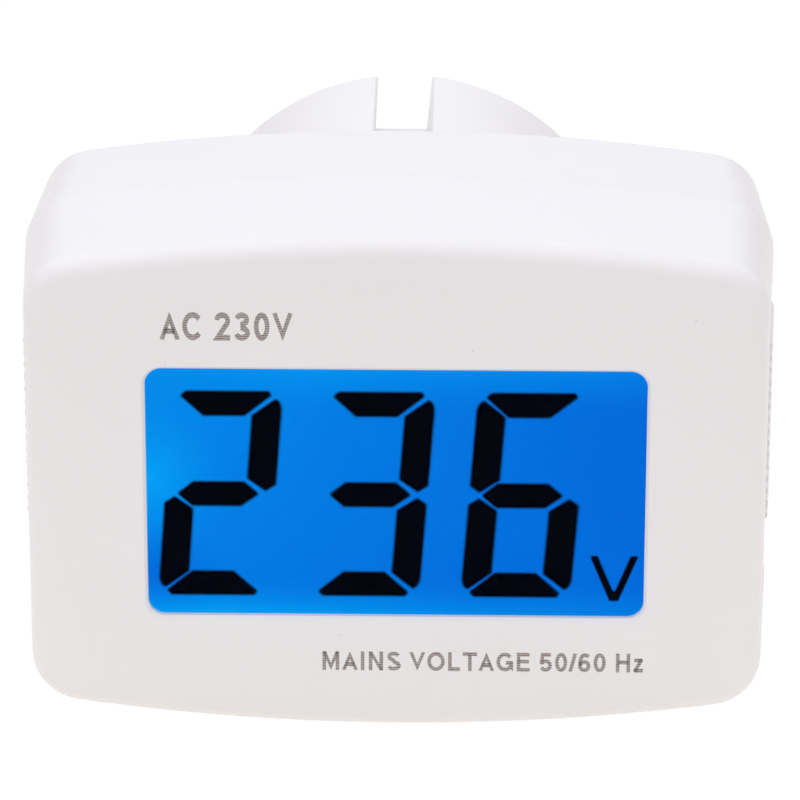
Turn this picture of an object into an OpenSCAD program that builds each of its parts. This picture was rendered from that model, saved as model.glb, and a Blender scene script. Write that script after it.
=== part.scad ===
/* [Case] */
// Width of the case at its front edge
front_w = 59.7; // [58:0.1:60.5]
// Width of the case at the seam, where it is widest
seam_w = 61.6; // [61:0.05:62.5]
// Width of the case at its rear edge
rear_w = 60.05; // [58:0.05:61]
// Height of the case at its front edge, on the centre line
front_h = 43.0; // [42.6:0.1:43.2]
// Height of the case at the seam, on the centre line
seam_h = 43.5; // [43.3:0.1:44]
// Height of the case at its rear edge, on the centre line
rear_h = 42.6; // [42.6:0.1:43.2]
// Depth of the front cover, from its face to the seam
front_depth = 14.8; // [14.6:0.1:15]
// Depth of the rear cover, from the seam to the back of the case
rear_depth = 12.6; // [12.4:0.1:12.8]
// Radius of the gently arched top and bottom
arch_r = 180; // [150:5:260]
// Radius of the four corners seen from the front
corner_r = 4.3; // [4:0.1:4.6]
// Depth of the rounded edge around the front face
front_round = 1.8; // [1.4:0.1:2]
// Width of the gently crowned band just inside that rounded edge
crown_w = 2.2; // [1:0.1:3]
// Rounding of the edge around the back of the case
rear_round = 1.0; // [0.6:0.1:1.2]
// Thickness of the case walls
wall = 2.2; // [2:0.1:2.3]

/* [Display window] */
// Width of the window in the front face
window_w = 40.45; // [39:0.05:40.6]
// Height of the window in the front face
window_h = 21.85; // [20:0.05:21.9]
// Corner radius of the window
window_r = 1.4; // [1:0.1:2]
// Height of the window's centre over the plug axis
window_z = -0.36; // [-0.5:0.02:-0.3]
// Thickness of the face around the window, which the display sits behind
lip = 0.7; // [0.6:0.05:0.8]

/* [Digits] */
// Height of a digit
digit_h = 18.2; // [16:0.1:18.4]
// Width of a digit
digit_w = 9.05; // [8.6:0.05:9.2]
// Distance from one digit to the next
digit_pitch = 12.36; // [12:0.02:12.5]
// Width of a level segment's stroke
stroke = 2.25; // [2:0.01:2.4]
// Width of an upright segment's stroke
upright = 2.5; // [2.2:0.01:2.6]
// Sideways lean of the digits for each millimetre of height
lean = 0.075; // [0:0.005:0.1]

/* [Plug] */
// Radius of the round plug boss, which enters a 39 mm socket recess
boss_r = 19.3; // [19:0.05:19.3]
// Length of the plug boss behind the case
boss_len = 19.2; // [18:0.1:19.4]
// Width of the mouth of the slot along the top and bottom of the boss
slot_w = 4.7; // [4.4:0.1:5.4]
// Distance from the plug axis to the floor of a slot
slot_floor = 14.15; // [13.4:0.05:14.2]
// Radius of a contact pin
pin_r = 2.4; // [2.35:0.05:2.4]
// Distance between the two pin axes
pin_spacing = 19; // [18.8:0.1:19.2]
// Length of a pin beyond the boss
pin_len = 19; // [18.5:0.1:19.5]

/* [Grips] */
// Number of ribs on each side grip
rib_count = 15; // [9:2:15]
// Distance from one rib to the next
rib_pitch = 1.07; // [1.05:0.01:1.1]
// Depth of the grip pocket
grip_depth = 0.5; // [0.4:0.05:0.55]
// How far the crests of the ribs stand out past the side of the case
rib_rise = 0.2; // [0.05:0.05:0.25]

/* [Trimmer] */
// Radius of the turning part of the calibration trimmer
rotor_r = 2.3; // [2:0.05:2.4]

/* [Hidden] */
$fn = 64;

// Everything is placed by its depth behind the front face. The origin is on the plug axis, at the boss end.
case_depth = front_depth + rear_depth;
total_depth = case_depth + boss_len;
front_y = -total_depth;
hair = 0.01;
over = 1;
gap = 0.1;

// Case details
seam_bevel = 0.1;
tongue_t = 0.9;
tongue_len = 1.5;
groove_len = 1.7;
outline_steps = 8;
round_steps = 6;
crown_tilt = 12;
crown_step = 4;
window_bevel = 0.25;
opening_r = boss_r + gap;
neck_r = boss_r - 0.4;

// Grips, one pocket in each cover on each side, with the ribs in its upper part
grip_half = 13.2;
rib_z = 2.7;
front_reach = 9;
rear_reach = 8.4;
rib_r = 0.46;
rib_gap = 0.06;
rib_margin = 0.9;

// Fasteners, all on mirrored pairs of centres
case_screw_x = 25.6;
case_screw_z = 15.4;
case_post_r = 2.1;
case_boss_r = 3;
case_head_r = 2.1;
case_head_h = 1.7;
case_sink = 5;
thread_r = 1.15;
thread_gap = 0.02;
board_screw_x = 25.7;
board_post_r = 1.7;
board_thread_r = 0.8;
ear_screw_x = 23;
ear_screw_r = 1.05;
ear_post_r = 2.3;

// Plug base, hollow inside
hollow_r = 16.8;
end_wall = 4;
slot_wall = 1.8;
rim_round = 0.5;
slot_round = 0.4;
slot_draft = 0.12;
slot_lean = 0.35;
ear_t = 2;
ear_half_x = 26.4;
ear_half_z = 7;
ear_depth = case_depth - 7;
post_top = ear_depth + ear_t;
shank_r = 1.75;
recess_r = 3.4;
recess_t = 0.8;
inner_wall = total_depth - end_wall;
tag_t = 0.6;
nut_t = 2.4;
nut_r = 3.18;

// Display stack, front to back
film_t = 0.2;
glass_t = 0.55;
crystal_t = 0.05;
guide_t = 2.8;
glass_half_x = 22.3;
glass_top = 12.3;
glass_low = -13.3;
rear_glass_top = 11.0;
film_x = 21.9;
film_top = 10.7;
film_low = -13;
stack_front = lip + 0.25;
front_glass_at = stack_front;
crystal_at = front_glass_at + glass_t;
rear_glass_at = crystal_at + crystal_t;
rear_film_at = rear_glass_at + glass_t;
diffuser_at = rear_film_at + film_t;
guide_at = diffuser_at + film_t;
reflector_at = guide_at + guide_t;
reflector_t = 0.25;
frame_floor_at = reflector_at + reflector_t;
frame_floor_t = 0.8;
frame_half_x = 23.75;
frame_top = 13.5;
frame_low = -14.5;
frame_r = 1.5;
peg_x = 23.05;
peg_z = [8, -9];
peg_r = 0.6;
led_x = -21.7;
led_z = [-5.5, 5.5];
led_lead_z = 1;
led_lead_r = 0.3;
zebra_half_x = 20;
zebra_low = 11.2;
zebra_top = 12.2;

// Circuit board
board_at = 8.2;
board_t = 1.6;
board_back = board_at + board_t;
board_half_x = 27.4;
board_half_z = 16.5;
wire_x = 12.5;
wire_r = 0.8;
core_r = 0.4;
tag_reach = 8;
wire_z = tag_reach;
chip_at = [2.5, -5.5];
chip_half = 5;
trimmer_at = [16.5, 3.4];
trimmer_half = 3.3;
trimmer_h = 4.8;
rotor_seat = 1.8;
rotor_gap = 0.05;

// Digits: half sizes, the cut that parts two segments, and how far an outer corner is trimmed and softened
half_dw = digit_w / 2;
half_dh = digit_h / 2;
inner_w = half_dw - upright;
mid = stroke / 2;
split = 0.22;
tip = 0.38;
soft = 0.8;
first_digit_x = -14.3;
digit_z = -0.6;

// Half width and half height of the case at a depth behind its front face
function blend(low, high, share) = low + (high - low) * share;
function half_w(d) = d < front_depth ? blend(front_w, seam_w, d / front_depth) / 2
    : blend(seam_w, rear_w, (d - front_depth) / rear_depth) / 2;
function half_h(d) = d < front_depth ? blend(front_h, seam_h, d / front_depth) / 2
    : blend(seam_h, rear_h, (d - front_depth) / rear_depth) / 2;

// A quarter of the case's outline: the corner's arc, then half of the arched edge
function corner_tilt(w, r) = asin((w - r) / (arch_r - r));
function corner_z(w, h, r) = h - arch_r + (arch_r - r) * cos(corner_tilt(w, r));
function quarter(w, h, r, t) = concat(
    [for (i = [0 : outline_steps]) let (a = i * (90 - t) / outline_steps)
        [w - r + r * cos(a), corner_z(w, h, r) + r * sin(a)]],
    [for (i = [1 : outline_steps]) let (a = t * (1 - (i - 0.5) / outline_steps))
        [arch_r * sin(a), h - arch_r + arch_r * cos(a)]]);
function flipped(points, x, z) = [for (p = points) [x * p[0], z * p[1]]];
function backwards(points) = [for (i = [len(points) - 1 : -1 : 0]) points[i]];
function outline(w, h, r) = let (q = quarter(w, h, r, corner_tilt(w, r)))
    concat(q, backwards(flipped(q, -1, 1)), flipped(q, -1, -1), backwards(flipped(q, 1, -1)));

// A flat shape drawn in X and Z, made solid from a depth towards the back
module plate(depth, thick) {
    translate([0, front_y + depth + thick, 0])
        rotate([90, 0, 0])
            linear_extrude(thick)
                children();
}

// A round bar along the plug axis
module bar(depth, len, r, x = 0, z = 0) {
    translate([x, front_y + depth + len, z])
        rotate([90, 0, 0])
            cylinder(h = len, r = r);
}

// A rectangle from its limits, with rounded corners
module rounded(left, right, low, top, r) {
    translate([left + r, low])
        square([right - left - 2 * r, top - low]);
    translate([left, low + r])
        square([right - left, top - low - 2 * r]);
    for (x = [left + r, right - r], z = [low + r, top - r])
        translate([x, z])
            circle(r);
}

module block(depth, thick, left, right, low, top) {
    translate([left, front_y + depth, low])
        cube([right - left, thick, top - low]);
}

// The case's cross section, drawn in by an inset
module case_section(depth, inset, thick = hair) {
    w = half_w(depth) - inset;
    h = half_h(depth) - inset;
    plate(depth, thick)
        polygon(outline(w, h, corner_r - inset));
}

// Puts a shape on the right side at the seam, tilted with the draft there. side is 1 behind the seam.
module on_side(side) {
    rise = side > 0 ? seam_w - rear_w : seam_w - front_w;
    run = side > 0 ? rear_depth : front_depth;
    translate([seam_w / 2, front_y + front_depth, 0])
        rotate([0, 0, side * atan(rise / 2 / run)])
            children();
}

module grip_pocket(side) {
    reach = side > 0 ? rear_reach : front_reach;
    on_side(side)
        translate([-grip_depth, side > 0 ? -over : -reach, -grip_half])
            cube([over, reach + over, 2 * grip_half]);
}

// The ribs stop just short of the seam, so those of the two covers do not touch
module grip_ribs(side) {
    rib_end = (side > 0 ? rear_reach : front_reach) - rib_margin;
    on_side(side)
        for (i = [0 : rib_count - 1])
            translate([rib_rise - rib_r, side > 0 ? rib_gap : -rib_end,
                rib_z + (i - (rib_count - 1) / 2) * rib_pitch])
                rotate([-90, 0, 0])
                    cylinder(h = rib_end - rib_gap, r = rib_r);
}

module on_both_sides() {
    children();
    mirror([1, 0, 0])
        children();
}

module four_posts(depth, len, r) {
    for (x = [-1, 1], z = [-1, 1])
        bar(depth, len, r, x * case_screw_x, z * case_screw_z);
}

module pair(depth, len, r, x) {
    for (s = [-1, 1])
        bar(depth, len, r, s * x);
}

module window_shape(grow) {
    rounded(-window_w / 2 - grow, window_w / 2 + grow, window_z - window_h / 2 - grow,
        window_z + window_h / 2 + grow, window_r + grow);
}

// The front edge is a tight arc that runs into a crown, an arc of large radius, before the flat face
module front_outside() {
    crown_r = crown_w / sin(crown_tilt);
    crown_depth = crown_r * (1 - cos(crown_tilt));
    edge_r = (front_round - crown_depth) / cos(crown_tilt);
    edge_inset = edge_r * (1 - sin(crown_tilt));
    hull() {
        for (a = [0 : crown_step : crown_tilt])
            case_section(crown_r * (1 - cos(a)), edge_inset + crown_r * (sin(crown_tilt) - sin(a)));
        for (i = [1 : round_steps]) {
            a = crown_tilt + i * (90 - crown_tilt) / round_steps;
            case_section(crown_depth + edge_r * (cos(crown_tilt) - cos(a)), edge_r * (1 - sin(a)));
        }
        case_section(front_depth - seam_bevel, 0);
        case_section(front_depth - hair, seam_bevel);
    }
}

module front_cover() {
    pilot_r = thread_r + thread_gap;
    pilot_at = 3.2;
    post_len = front_depth + groove_len - gap - wall + hair;
    seat_w = frame_half_x + gap;
    color([0.92, 0.91, 0.91]) {
        difference() {
            union() {
                difference() {
                    front_outside();
                    hull() {
                        case_section(wall, wall);
                        case_section(front_depth, wall);
                    }
                    plate(lip, wall)
                        rounded(-seat_w, seat_w, frame_low - gap, frame_top + gap, frame_r);
                }
                difference() {
                    plate(front_depth - over, over + tongue_len)
                        polygon(outline(half_w(front_depth) - wall + tongue_t,
                            half_h(front_depth) - wall + tongue_t, corner_r - wall + tongue_t));
                    plate(front_depth - 2 * over, 3 * over + tongue_len)
                        polygon(outline(half_w(front_depth) - wall,
                            half_h(front_depth) - wall, corner_r - wall));
                }
                four_posts(wall - hair, post_len, case_post_r);
                pair(wall - hair, board_at - wall + hair, board_post_r, board_screw_x);
            }
            plate(-over, lip + 2 * over)
                window_shape(0);
            hull() {
                plate(-hair, hair)
                    window_shape(window_bevel);
                plate(window_bevel, hair)
                    window_shape(0);
            }
            four_posts(pilot_at, case_depth, pilot_r);
            pair(pilot_at, board_at, board_thread_r + thread_gap, board_screw_x);
            on_both_sides()
                grip_pocket(-1);
        }
        on_both_sides()
            grip_ribs(-1);
    }
}

module rear_outside() {
    hull() {
        case_section(front_depth, seam_bevel);
        case_section(front_depth + seam_bevel, 0);
        for (i = [0 : round_steps]) {
            a = i * 90 / round_steps;
            case_section(case_depth - hair - rear_round * (1 - sin(a)), rear_round * (1 - cos(a)));
        }
    }
}

module rear_cover() {
    hole_r = thread_r + 0.15;
    groove_w = half_w(front_depth) - wall + tongue_t + gap;
    groove_h = half_h(front_depth) - wall + tongue_t + gap;
    color([0.93, 0.92, 0.92]) {
        difference() {
            union() {
                difference() {
                    rear_outside();
                    hull() {
                        case_section(front_depth - over, wall);
                        case_section(case_depth - wall, wall);
                    }
                    plate(front_depth - over, over + groove_len)
                        polygon(outline(groove_w, groove_h, corner_r - wall + tongue_t));
                }
                four_posts(front_depth + groove_len, rear_depth - groove_len - over, case_boss_r);
                pair(post_top, case_depth - post_top - over, ear_post_r, ear_screw_x);
            }
            bar(front_depth, rear_depth + over, opening_r);
            four_posts(front_depth - over, rear_depth, hole_r);
            four_posts(case_depth - case_sink, case_sink + over, case_head_r + 0.2);
            pair(post_top - over, over + 4, ear_screw_r + thread_gap, ear_screw_x);
            on_both_sides()
                grip_pocket(1);
        }
        on_both_sides()
            grip_ribs(1);
    }
}

// Slot cutter seen along the plug axis. It narrows and leans a little towards its floor.
module slot_shape() {
    mouth_z = sqrt(boss_r * boss_r - slot_w * slot_w / 4);
    floor_left = -slot_w / 2 + slot_draft - slot_lean;
    floor_right = slot_w / 2 - slot_draft - slot_lean;
    polygon([[floor_left, slot_floor], [floor_right, slot_floor], [slot_w / 2, mouth_z],
        [slot_w / 2, 2 * boss_r], [-slot_w / 2, 2 * boss_r], [-slot_w / 2, mouth_z]]);
    difference() {
        translate([-slot_w / 2 - slot_round, mouth_z - slot_round])
            square([slot_w + 2 * slot_round, boss_r]);
        for (s = [-1, 1])
            translate([s * (slot_w / 2 + slot_round), mouth_z - slot_round])
                circle(slot_round);
    }
}

// Boss with a rounded rim, spun around the plug axis
module boss() {
    translate([0, front_y + case_depth, 0])
        rotate([-90, 0, 0])
            rotate_extrude() {
                square([boss_r - rim_round, boss_len]);
                square([boss_r, boss_len - rim_round]);
                translate([boss_r - rim_round, boss_len - rim_round])
                    circle(rim_round);
            }
}

module plug_base() {
    channel_at = case_depth - slot_wall;
    color([0.93, 0.92, 0.92])
        difference() {
            union() {
                difference() {
                    union() {
                        boss();
                        bar(ear_depth, case_depth - ear_depth + hair, neck_r);
                        plate(ear_depth, ear_t)
                            rounded(-ear_half_x, ear_half_x, -ear_half_z, ear_half_z, 2);
                    }
                    bar(ear_depth - over, inner_wall - ear_depth + over, hollow_r);
                }
                for (s = [-1, 1])
                    block(channel_at, inner_wall - channel_at + over, -slot_w / 2 - slot_wall,
                        slot_w / 2 + slot_wall, s > 0 ? slot_floor - slot_wall : -hollow_r - 1.2,
                        s > 0 ? hollow_r + 1.2 : slot_wall - slot_floor);
            }
            for (turn = [0, 180])
                rotate([0, turn, 0])
                    plate(case_depth, boss_len + over)
                        slot_shape();
            pair(inner_wall - over, end_wall + 2 * over, shank_r + thread_gap, pin_spacing / 2);
            pair(total_depth - recess_t, recess_t + over, recess_r, pin_spacing / 2);
            pair(ear_depth - over, ear_t + 2 * over, ear_screw_r + 0.2, ear_screw_x);
        }
}

// Contact pin with a domed end and a thinner threaded shank inside the boss
module contact_pin(side) {
    shank_at = inner_wall - tag_t - nut_t - 0.8;
    round_len = recess_t + pin_len - pin_r;
    color([0.82, 0.8, 0.74]) {
        bar(total_depth - recess_t, round_len, pin_r, side * pin_spacing / 2);
        bar(shank_at, total_depth - recess_t - shank_at + hair, shank_r, side * pin_spacing / 2);
        translate([side * pin_spacing / 2, pin_len - pin_r, 0])
            sphere(pin_r);
    }
}

module left_pin() {
    contact_pin(-1);
}

module right_pin() {
    contact_pin(1);
}

module pin_nuts() {
    at = inner_wall - tag_t - nut_t;
    color([0.75, 0.74, 0.7])
        for (s = [-1, 1])
            difference() {
                translate([s * pin_spacing / 2, front_y + at, 0])
                    rotate([-90, 0, 0])
                        cylinder(h = nut_t, r = nut_r, $fn = 6);
                bar(at - over, nut_t + 2 * over, shank_r + thread_gap, s * pin_spacing / 2);
            }
}

// Ring tags that carry the wires to the pins
module pin_tags() {
    ring_r = 3.3;
    tab_half = 1.5;
    at = inner_wall - tag_t;
    color([0.78, 0.77, 0.74])
        for (s = [-1, 1]) {
            x = s * pin_spacing / 2;
            difference() {
                union() {
                    bar(at, tag_t, ring_r, x);
                    block(at, tag_t, x - tab_half, x + tab_half, 0, tag_reach + tab_half);
                }
                bar(at - over, tag_t + 2 * over, shank_r + thread_gap, x);
                bar(at - over, tag_t + 2 * over, core_r + thread_gap, x, tag_reach);
            }
        }
}

// Insulated wire from a hole in the board to the tag behind a pin, with a square jog on the way
module mains_wire(side) {
    skin_at = board_back + 0.5;
    end_at = inner_wall - tag_t - 0.6;
    jog_at = 30;
    pin_x = pin_spacing / 2;
    bar(board_at - 0.4, skin_at - board_at + 0.5, core_r, side * wire_x, wire_z);
    bar(skin_at, jog_at - skin_at, wire_r, side * wire_x, wire_z);
    bar(jog_at, end_at - jog_at, wire_r, side * pin_x, wire_z);
    bar(end_at - 0.1, inner_wall - end_at, core_r, side * pin_x, wire_z);
    translate([side > 0 ? pin_x : -wire_x, front_y + jog_at, wire_z])
        rotate([0, 90, 0])
            cylinder(h = wire_x - pin_x, r = wire_r);
    for (x = [pin_x, wire_x])
        translate([side * x, front_y + jog_at, wire_z])
            sphere(wire_r);
}

module live_wire() {
    color([0.45, 0.26, 0.14])
        mains_wire(-1);
}

module neutral_wire() {
    color([0.15, 0.32, 0.7])
        mains_wire(1);
}

// Pan head screw with a cross recess, its head at the back of its depth
module screw(head_at, head_r, head_h, len, r, x, z, facing) {
    slot = 0.5;
    sink = head_h * 0.6;
    shank_at = facing > 0 ? head_at - len : head_at + head_h;
    face_at = facing > 0 ? head_at + head_h - sink : head_at - over;
    difference() {
        union() {
            bar(head_at, head_h, head_r, x, z);
            bar(shank_at - (facing > 0 ? 0 : hair), len + hair, r, x, z);
        }
        for (a = [0, 90])
            translate([x, front_y + face_at, z])
                rotate([0, a, 0])
                    translate([-head_r * 0.6, 0, -slot / 2])
                        cube([head_r * 1.2, sink + over, slot]);
    }
}

module case_screws() {
    color("silver")
        for (x = [-1, 1], z = [-1, 1])
            screw(case_depth - case_sink, case_head_r, case_head_h, 16, thread_r,
                x * case_screw_x, z * case_screw_z, 1);
}

module plug_base_screws() {
    head_h = 1.2;
    color("silver")
        for (x = [-1, 1])
            screw(ear_depth - head_h, 2, head_h, 5.8, ear_screw_r, x * ear_screw_x, 0, -1);
}

module board_screws() {
    color("silver")
        for (x = [-1, 1])
            screw(board_back, 1.5, 1.1, 5.6, board_thread_r, x * board_screw_x, 0, 1);
}

module display_frame() {
    glass_gap = 0.1;
    ring_back = board_at - 0.02;
    color([0.9, 0.9, 0.88])
        difference() {
            union() {
                plate(lip + 0.05, ring_back - lip - 0.05)
                    rounded(-frame_half_x, frame_half_x, frame_low, frame_top, frame_r);
                for (x = [-1, 1], z = peg_z)
                    bar(ring_back - over, over + board_t + 0.5, peg_r, x * peg_x, z);
            }
            block(0, rear_film_at, -glass_half_x - glass_gap, glass_half_x + glass_gap,
                glass_low - glass_gap, glass_top + glass_gap);
            block(0, frame_floor_at, -glass_half_x - glass_gap, film_x + glass_gap,
                film_low - glass_gap, film_top + glass_gap);
            block(frame_floor_at + frame_floor_t, board_at, -film_x, film_x, film_low, film_top);
            block(0, board_at + over, -zebra_half_x - glass_gap, zebra_half_x + glass_gap,
                zebra_low - glass_gap, zebra_top + glass_gap);
            for (z = led_z, s = [-1, 1])
                bar(0, board_at, core_r, led_x, z + s * led_lead_z);
        }
}

module film(depth, thick, left) {
    block(depth, thick, left, film_x, film_low, film_top);
}

module front_polarizer() {
    color([0.35, 0.5, 0.75, 0.3])
        block(front_glass_at - film_t, film_t - hair, -film_x, film_x, film_low, glass_top - over);
}

module lcd_front_glass() {
    color([0.8, 0.9, 1, 0.3])
        block(front_glass_at, glass_t, -glass_half_x, glass_half_x, glass_low, glass_top);
}

module lcd_rear_glass() {
    color([0.8, 0.9, 1, 0.3])
        block(rear_glass_at, glass_t, -glass_half_x, glass_half_x, glass_low, rear_glass_top);
}

module rear_polarizer() {
    color([0.35, 0.5, 0.75, 0.3])
        film(rear_film_at, film_t - hair, -film_x);
}

module diffuser_film() {
    color([0.9, 0.95, 1])
        film(diffuser_at, film_t - hair, -film_x);
}

module light_guide() {
    color([0.1, 0.5, 1])
        film(guide_at, guide_t - hair, led_x + 0.8);
}

module reflector_sheet() {
    color("white")
        film(reflector_at, reflector_t - hair, led_x + 0.8);
}

// Side-firing light emitters at the left edge of the light guide
module backlight_leds() {
    body_t = 0.65;
    color([0.6, 0.8, 1])
        for (z = led_z) {
            block(guide_at + 0.1, guide_t - 0.3, led_x - body_t, led_x + body_t, z - 1.6, z + 1.6);
            for (s = [-1, 1])
                bar(reflector_at - 0.4, board_back - reflector_at + 1, led_lead_r, led_x, z + s * led_lead_z);
        }
}

module zebra_strip() {
    at = crystal_at + hair;
    color([0.2, 0.2, 0.22])
        block(at, board_at - at - 0.02, -zebra_half_x, zebra_half_x, zebra_low, zebra_top);
}

// One segment of a digit, as a polygon around the digit's centre before it leans
function level_bar(z) = [[-inner_w + split, z - mid], [inner_w - split, z - mid],
    [half_dw - 1, z], [inner_w - split, z + mid], [-inner_w + split, z + mid], [1 - half_dw, z]];
function cap_bar() = [[-inner_w + split, half_dh - stroke], [inner_w - split, half_dh - stroke],
    [half_dw - tip - split, half_dh - tip], [half_dw - soft - split, half_dh],
    [-half_dw + soft + split, half_dh], [-half_dw + tip + split, half_dh - tip]];
function side_bar() = [[inner_w, mid + split], [half_dw - 0.72, split], [half_dw, soft + 0.15],
    [half_dw, half_dh - soft - split], [half_dw - 0.2, half_dh - tip - 0.45],
    [half_dw - tip, half_dh - tip - split], [inner_w, half_dh - stroke - split]];
function leaned(points, x, sx, sz) = [for (p = points) [x + sx * p[0] + lean * sz * p[1], sz * p[1]]];

// Names of the lit segments: top, upper left, upper right, middle, lower left, lower right, bottom
module digit(x, lit) {
    if (search("t", lit)) polygon(leaned(cap_bar(), x, 1, 1));
    if (search("m", lit)) polygon(leaned(level_bar(0), x, 1, 1));
    if (search("b", lit)) polygon(leaned(cap_bar(), x, 1, -1));
    if (search("p", lit)) polygon(leaned(side_bar(), x, -1, 1));
    if (search("q", lit)) polygon(leaned(side_bar(), x, 1, 1));
    if (search("r", lit)) polygon(leaned(side_bar(), x, -1, -1));
    if (search("s", lit)) polygon(leaned(side_bar(), x, 1, -1));
}

module volt_mark() {
    top_z = -5.4;
    low_z = -9.2;
    left_x = 15.95;
    right_x = 19.6;
    tip_x = (left_x + right_x) / 2 + 0.1;
    thin = 0.66;
    polygon([[left_x, top_z], [left_x + thin, top_z], [tip_x, low_z + 0.9], [right_x - thin, top_z],
        [right_x, top_z], [tip_x + thin / 2, low_z], [tip_x - thin / 2, low_z]]);
}

module lcd_segments() {
    color([0.02, 0.03, 0.1])
        plate(crystal_at, crystal_t)
            translate([0, window_z + digit_z]) {
                digit(first_digit_x, "tqmrb");
                digit(first_digit_x + digit_pitch, "tqmsb");
                digit(first_digit_x + 2 * digit_pitch, "tpmrsb");
                volt_mark();
            }
}

module circuit_board() {
    lead_r = 0.45;
    color([0.1, 0.42, 0.22])
        difference() {
            plate(board_at, board_t)
                rounded(-board_half_x, board_half_x, -board_half_z, board_half_z, 1);
            four_posts(board_at - over, board_t + 2 * over, case_boss_r + 0.2);
            pair(board_at - over, board_t + 2 * over, board_thread_r + 0.2, board_screw_x);
            for (x = [-1, 1], z = peg_z)
                bar(board_at - over, board_t + 2 * over, peg_r + rotor_gap, x * peg_x, z);
            for (z = led_z, s = [-1, 1])
                bar(board_at - over, board_t + 2 * over, core_r, led_x, z + s * led_lead_z);
            for (x = [-1, 1])
                bar(board_at - over, board_t + 2 * over, lead_r, x * wire_x, wire_z);
        }
}

module meter_chip() {
    color([0.12, 0.12, 0.13])
        difference() {
            block(board_back + 0.1, 1.9, chip_at[0] - chip_half, chip_at[0] + chip_half,
                chip_at[1] - chip_half, chip_at[1] + chip_half);
            bar(board_back + 1.8, over, 0.5, chip_at[0] - chip_half + 1.3, chip_at[1] + chip_half - 1.3);
        }
}

// Gull-wing leads on all four sides of the chip
module chip_leads() {
    lead_w = 0.32;
    lead_pitch = 0.8;
    foot = 0.9;
    thick = 0.15;
    rise_t = 0.9;
    color("silver")
        translate([chip_at[0], front_y + board_back, chip_at[1]])
            for (a = [0, 90, 180, 270])
                rotate([0, a, 0])
                    for (i = [-5 : 5])
                        translate([chip_half, 0, i * lead_pitch - lead_w / 2]) {
                            translate([0.05, rise_t - thick, 0])
                                cube([0.5, thick, lead_w]);
                            translate([0.4, 0.01, 0])
                                cube([thick, rise_t - 0.01, lead_w]);
                            translate([0.4, 0.01, 0])
                                cube([foot, thick, lead_w]);
                        }
}

module chip_capacitors() {
    color([0.72, 0.6, 0.42])
        for (x = [-9, -4.5, 0, 4.5])
            block(board_back + hair, 1.1, x - 1.6, x + 1.6, -14.8, -13.2);
}

module dropper_capacitor() {
    color([0.85, 0.7, 0.15])
        union() {
            plate(board_back + 0.3, 13)
                rounded(-9, 9, 5, 12, 0.6);
            for (x = [-7.5, 7.5])
                bar(board_back + 0.01, 0.5, core_r, x, 8.5);
        }
}

module smoothing_capacitor() {
    x = -10;
    z = -8;
    r = 3.15;
    color([0.1, 0.12, 0.3])
        difference() {
            bar(board_back + 0.2, 10.8, r, x, z);
            difference() {
                bar(board_back + 1.4, 0.5, r + over, x, z);
                bar(board_back + 1.3, 0.7, r - 0.25, x, z);
            }
            for (a = [0, 90])
                translate([x, front_y + board_back + 10.8, z])
                    rotate([0, a, 0])
                        translate([-2, 0, -0.1])
                            cube([4, over, 0.2]);
        }
}

module bridge_rectifier() {
    color([0.13, 0.13, 0.14])
        union() {
            block(board_back + 0.4, 3, -19.75, -11.25, -1.2, 5.2);
            for (x = [-18.5, -12.5], z = [-0.6, 4.6])
                bar(board_back + hair, over, core_r, x, z);
        }
}

// Part with a round body lying over the board on two bent leads. axis is 0 along X and 90 along Z.
module axial(x, z, axis, body_r, body_len, span) {
    rise = body_r + 0.3;
    lead_r = 0.3;
    translate([x, front_y + board_back, z])
        rotate([0, axis, 0]) {
            translate([-body_len / 2, rise, 0])
                rotate([0, 90, 0])
                    cylinder(h = body_len, r = body_r);
            translate([-span / 2, rise, 0])
                rotate([0, 90, 0])
                    cylinder(h = span, r = lead_r);
            for (s = [-1, 1])
                translate([s * span / 2, hair, 0])
                    rotate([-90, 0, 0])
                        cylinder(h = rise - hair, r = lead_r);
            for (s = [-1, 1])
                translate([s * span / 2, rise, 0])
                    sphere(lead_r);
        }
}

module zener_diode() {
    color([0.75, 0.25, 0.15])
        axial(-17.2, -6.5, 90, 1.2, 4.4, 7.6);
}

module fusible_resistor() {
    color([0.45, 0.6, 0.45])
        axial(0, 14.4, 0, 1.6, 8.5, 13);
}

module divider_resistors() {
    color([0.45, 0.65, 0.8])
        for (x = [12, 15.2, 18.4])
            axial(x, -6.5, 90, 1.15, 6, 9);
}

module trimmer_body() {
    seat_at = board_back + rotor_seat;
    x = trimmer_at[0];
    z = trimmer_at[1];
    color([0.15, 0.3, 0.75])
        difference() {
            block(board_back + hair, trimmer_h, x - trimmer_half, x + trimmer_half,
                z - trimmer_half, z + trimmer_half);
            bar(seat_at, trimmer_h, rotor_r + rotor_gap, x, z);
        }
}

// Rotor with a screwdriver cross, free to turn in the trimmer's round seat
module trimmer_rotor() {
    x = trimmer_at[0];
    z = trimmer_at[1];
    seat_at = board_back + rotor_seat + rotor_gap;
    rotor_h = trimmer_h - rotor_seat + 0.2;
    slot = 0.7;
    sink = 1;
    color([0.93, 0.9, 0.8])
        difference() {
            bar(seat_at, rotor_h, rotor_r, x, z);
            translate([x, front_y + seat_at + rotor_h - sink, z]) {
                translate([-slot / 2, 0, -rotor_r * 0.8])
                    cube([slot, over + sink, rotor_r * 1.6]);
                translate([-rotor_r * 0.8, 0, -slot / 2])
                    cube([rotor_r * 1.6, over + sink, slot]);
            }
            translate([x - 0.2, front_y + seat_at + rotor_h - sink / 2, z + rotor_r * 0.75])
                cube([0.4, over, rotor_r]);
        }
}

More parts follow.
